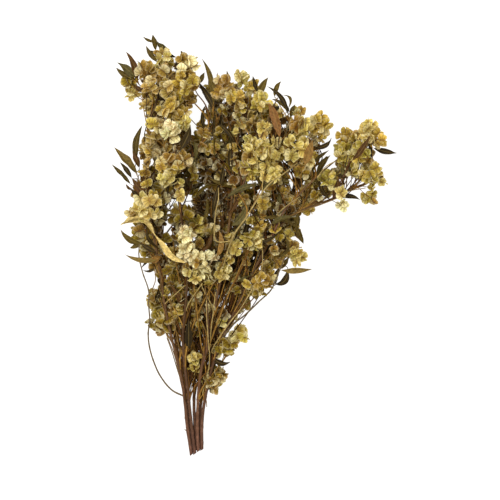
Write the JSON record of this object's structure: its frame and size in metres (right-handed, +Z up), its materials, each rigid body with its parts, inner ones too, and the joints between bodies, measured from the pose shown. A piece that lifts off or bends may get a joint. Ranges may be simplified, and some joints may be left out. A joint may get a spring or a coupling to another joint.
{
  "type": "dried hop bush bunch",
  "caption": "Bunch of dried hop bush stems lying down, fanned from the cut ends, with sprays of papery winged capsules and narrow leaves.",
  "frame": {"origin": "on the table under the middle of the lying bunch's box", "axes": "+Y along the stems from the cut ends to the tips, +X to the right seen from above, +Z up from the table"},
  "size_m": [0.4004, 0.5856, 0.1274],
  "materials": {
    "bark": "dried reddish-brown bark, matt",
    "capsule": "dried papery seed capsule, straw to amber, thin and slightly see-through",
    "leaf": "dried narrow leaf, dark olive, slightly leathery"
  },
  "bodies": {
    "root": {"stem_left": "bark", "stem_mid_left": "bark", "stem_mid_right": "bark", "stem_right": "bark", "stem_under_left": "bark", "stem_under_mid": "bark", "stem_under_right": "bark", "shoot_top_left": "leaf", "shoot_far_left": "leaf", "shoot_left": "leaf", "shoot_left_low": "leaf", "shoot_centre_top": "leaf", "shoot_right_top": "leaf", "spray_far_left_top": "capsule", "spray_crown_left": "capsule", "spray_crown_tip": "capsule", "spray_upper_left": "capsule", "spray_upper_edge": "capsule", "spray_left_shoulder": "capsule", "spray_left_front": "capsule", "spray_left_waist": "capsule", "spray_left_edge": "capsule", "spray_left_heart": "capsule", "spray_heart": "capsule", "spray_front_left": "capsule", "spray_front_main": "capsule", "spray_front_low": "capsule", "spray_top_amber": "capsule", "spray_top_gold": "capsule", "spray_top_inner": "capsule", "spray_top_right": "capsule", "spray_middle_upper": "capsule", "spray_middle_deep": "capsule", "spray_front_upper": "capsule", "spray_front_right": "capsule", "spray_right_top": "capsule", "spray_right_front": "capsule", "spray_right_inner": "capsule", "spray_right_tip": "capsule", "spray_right_edge": "capsule", "spray_right_lower": "capsule", "spray_right_deep": "capsule", "spray_middle_gold": "capsule", "spray_middle_front": "capsule", "spray_lower_right": "capsule", "spray_lower_gold": "capsule", "spray_low_right": "capsule", "spray_low_single": "capsule", "spray_low_mid": "capsule", "spray_low_left": "capsule", "spray_under_upper_left": "capsule", "spray_under_left_side": "capsule", "spray_under_left_low": "capsule", "spray_under_top": "capsule", "spray_under_middle": "capsule", "spray_under_top_right": "capsule", "spray_under_centre": "capsule", "spray_under_right_side": "capsule", "spray_under_right_low": "capsule", "spray_under_low": "capsule"}
  },
  "joints": []
}
